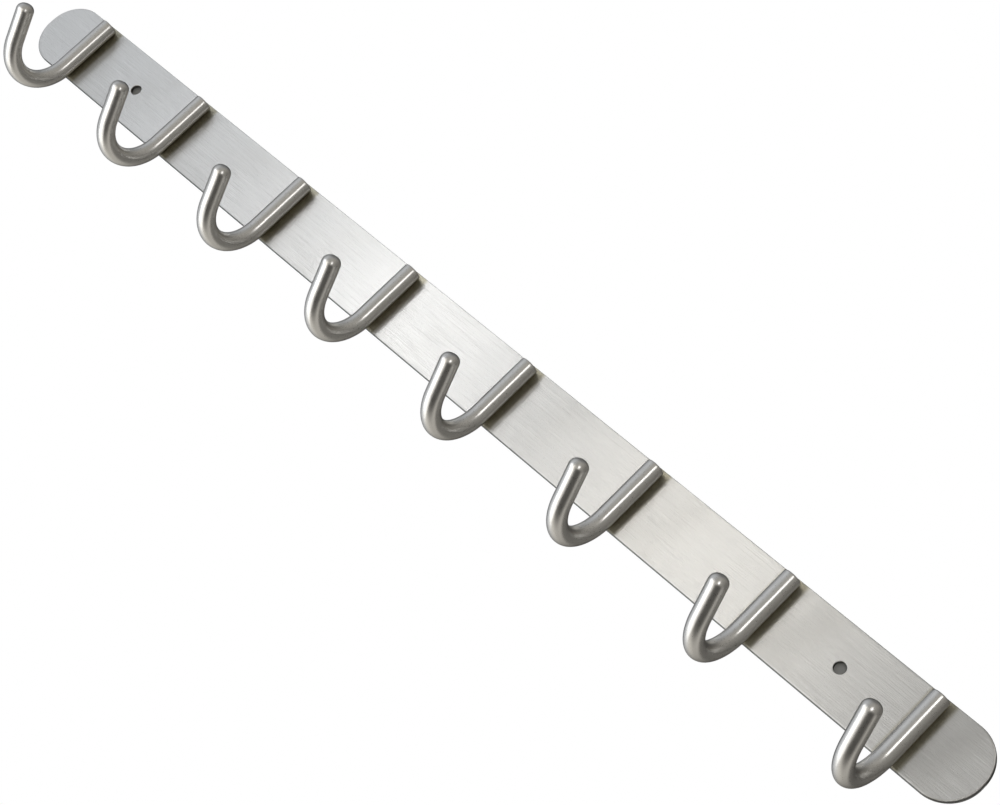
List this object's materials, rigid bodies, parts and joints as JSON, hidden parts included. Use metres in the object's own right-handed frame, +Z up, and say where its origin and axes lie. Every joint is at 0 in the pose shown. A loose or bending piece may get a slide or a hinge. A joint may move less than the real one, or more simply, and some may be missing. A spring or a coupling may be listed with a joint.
{
  "type": "wall coat rack",
  "caption": "Flat brushed steel wall rail with rounded ends and a row of bent-rod J hooks welded to its face, held by a screw near each end.",
  "frame": {"origin": "on the rail's flat back face, midway between the two screw holes", "axes": "+X along the rail, +Y out of the back face into the wall, +Z up"},
  "size_m": [0.563, 0.0514, 0.052],
  "materials": {
    "rail_brushed_steel": "brushed along its length",
    "hook_satin_steel": "satin"
  },
  "bodies": {
    "root": {"rail": "rail_brushed_steel", "hook_1": "hook_satin_steel", "hook_2": "hook_satin_steel", "hook_3": "hook_satin_steel", "hook_4": "hook_satin_steel", "hook_5": "hook_satin_steel", "hook_6": "hook_satin_steel", "hook_7": "hook_satin_steel", "hook_8": "hook_satin_steel"}
  },
  "joints": []
}
